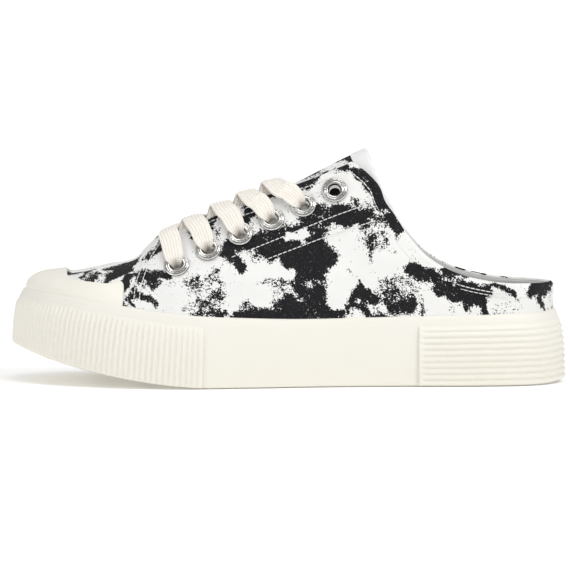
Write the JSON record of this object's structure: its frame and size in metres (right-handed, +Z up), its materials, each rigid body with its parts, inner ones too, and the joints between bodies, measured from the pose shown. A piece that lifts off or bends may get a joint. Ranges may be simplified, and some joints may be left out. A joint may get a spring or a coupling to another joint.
{
  "type": "sneaker mule",
  "caption": "Backless canvas sneaker for the left foot, with a thick rubber sole, ribbed toe and heel strips, a low open heel and a flat lace over a padded tongue.",
  "frame": {"origin": "on the floor, under the middle of the shoe's bounding box", "axes": "+X towards the toe, +Y towards the outer side of the foot, +Z up"},
  "size_m": [0.2679, 0.1004, 0.1099],
  "materials": {
    "sole_rubber": "satin",
    "tread_rubber": "matte",
    "printed_canvas": "matte",
    "tongue_canvas": "matte",
    "footbed": "matte",
    "eyelet_metal": "polished",
    "lace_cotton": "matte"
  },
  "bodies": {
    "root": {"outsole": "tread_rubber", "foxing": "sole_rubber", "toe_strip": "sole_rubber", "heel_strip": "sole_rubber", "toe_cap": "sole_rubber", "insole": "footbed", "upper": "printed_canvas", "tongue": "tongue_canvas", "eyelet_outer_1": "eyelet_metal", "eyelet_outer_2": "eyelet_metal", "eyelet_outer_3": "eyelet_metal", "eyelet_outer_4": "eyelet_metal", "eyelet_outer_5": "eyelet_metal", "eyelet_outer_6": "eyelet_metal", "eyelet_inner_1": "eyelet_metal", "eyelet_inner_2": "eyelet_metal", "eyelet_inner_3": "eyelet_metal", "eyelet_inner_4": "eyelet_metal", "eyelet_inner_5": "eyelet_metal", "eyelet_inner_6": "eyelet_metal", "lace_bar_1": "lace_cotton", "lace_cross_2": "lace_cotton", "lace_cross_3": "lace_cotton", "lace_cross_4": "lace_cotton", "lace_cross_5": "lace_cotton"}
  },
  "joints": []
}
